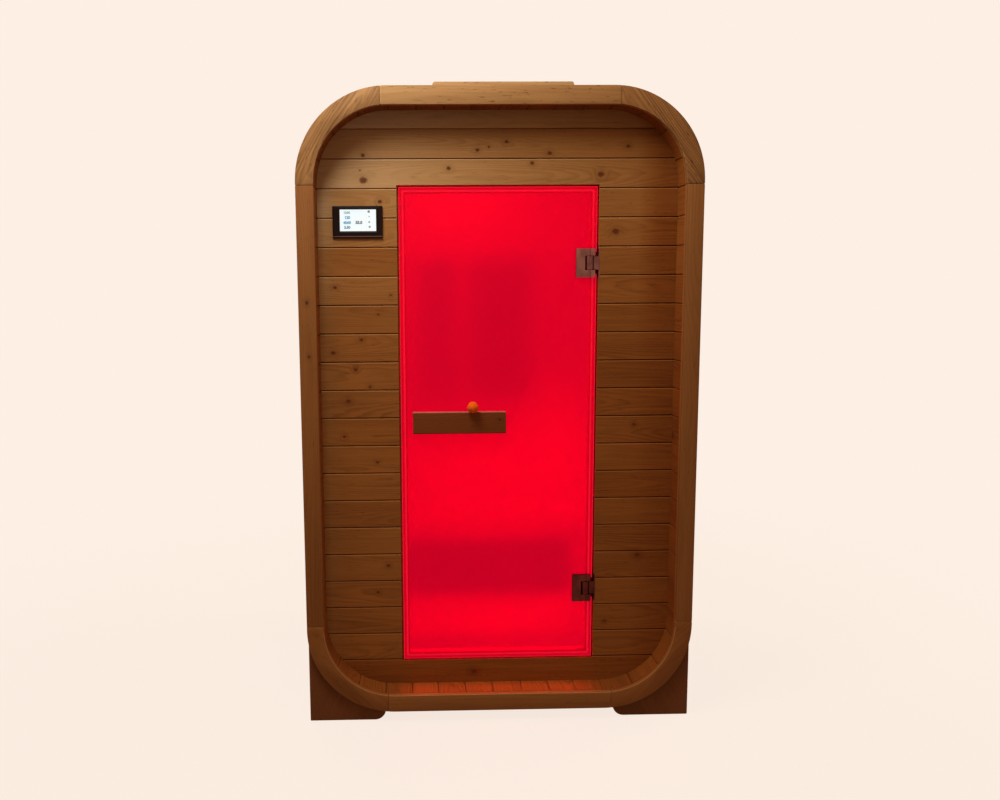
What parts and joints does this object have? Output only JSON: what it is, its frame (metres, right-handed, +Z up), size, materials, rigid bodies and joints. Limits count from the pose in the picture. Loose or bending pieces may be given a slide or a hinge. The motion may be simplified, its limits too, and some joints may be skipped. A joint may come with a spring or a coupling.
{
  "type": "infrared sauna cabin",
  "caption": "Free-standing infrared sauna cabin: rounded timber jacket, face ring, set-back board wall, hinged frosted glass door, bench and heater panels inside.",
  "frame": {"origin": "on the ground under the centre of the cabin", "axes": "+Z up, -Y towards the door side, +X to the right seen from the front"},
  "size_m": [1.24, 1.1, 2.009],
  "materials": {
    "timber": "thermally treated softwood, planed",
    "timber_light": "thermally treated softwood, planed",
    "timber_dark": "thermally treated softwood, oiled",
    "knob_wood": "turned, oiled",
    "red_glass": "frosted, lit red from inside",
    "seal": "translucent",
    "hinge_steel": "satin",
    "panel_black": "satin",
    "screen": "lit display",
    "heater_black": "matt",
    "red_light": "lit"
  },
  "bodies": {
    "cabin": {"front_top_rail": "timber_light", "front_bottom_rail": "timber_dark", "front_left_stile": "timber", "front_right_stile": "timber", "front_top_left_corner": "timber_light", "front_top_right_corner": "timber", "front_bottom_left_corner": "timber_dark", "front_bottom_right_corner": "timber_dark", "rear_rails": "timber", "rear_corners": "timber", "left_wall": "timber", "right_wall": "timber", "roof": "timber", "floor": "timber_dark", "top_left_shell": "timber", "top_right_shell": "timber", "bottom_left_shell": "timber_dark", "bottom_right_shell": "timber_dark", "front_wall_left": "timber", "front_wall_right": "timber", "front_wall_over_door": "timber", "front_wall_under_door": "timber_dark", "rear_wall": "timber", "door_head": "timber_dark", "door_sill": "timber_dark", "door_latch_jamb": "timber_dark", "door_hinge_jamb": "timber_dark", "upper_hinge_block": "hinge_steel", "lower_hinge_block": "hinge_steel", "control_panel": "panel_black", "control_screen": "screen", "bench_seat": "timber", "bench_front": "timber", "back_heaters": "heater_black", "calf_heater": "heater_black", "ceiling_light": "red_light", "front_feet": "timber_dark", "rear_feet": "timber_dark", "roof_batten": "timber_light"},
    "door": {"door_glass": "red_glass", "door_seal": "seal", "door_handle": "timber_dark", "door_knob": "knob_wood", "upper_hinge_clamp": "hinge_steel", "lower_hinge_clamp": "hinge_steel"}
  },
  "joints": [
    {"name": "door_hinge", "type": "hinge", "parent": "cabin", "child": "door", "pos_m": [0.29, -0.444, 0.9415], "axis": [0, 0, 1], "range_deg": [0, 110]}
  ]
}
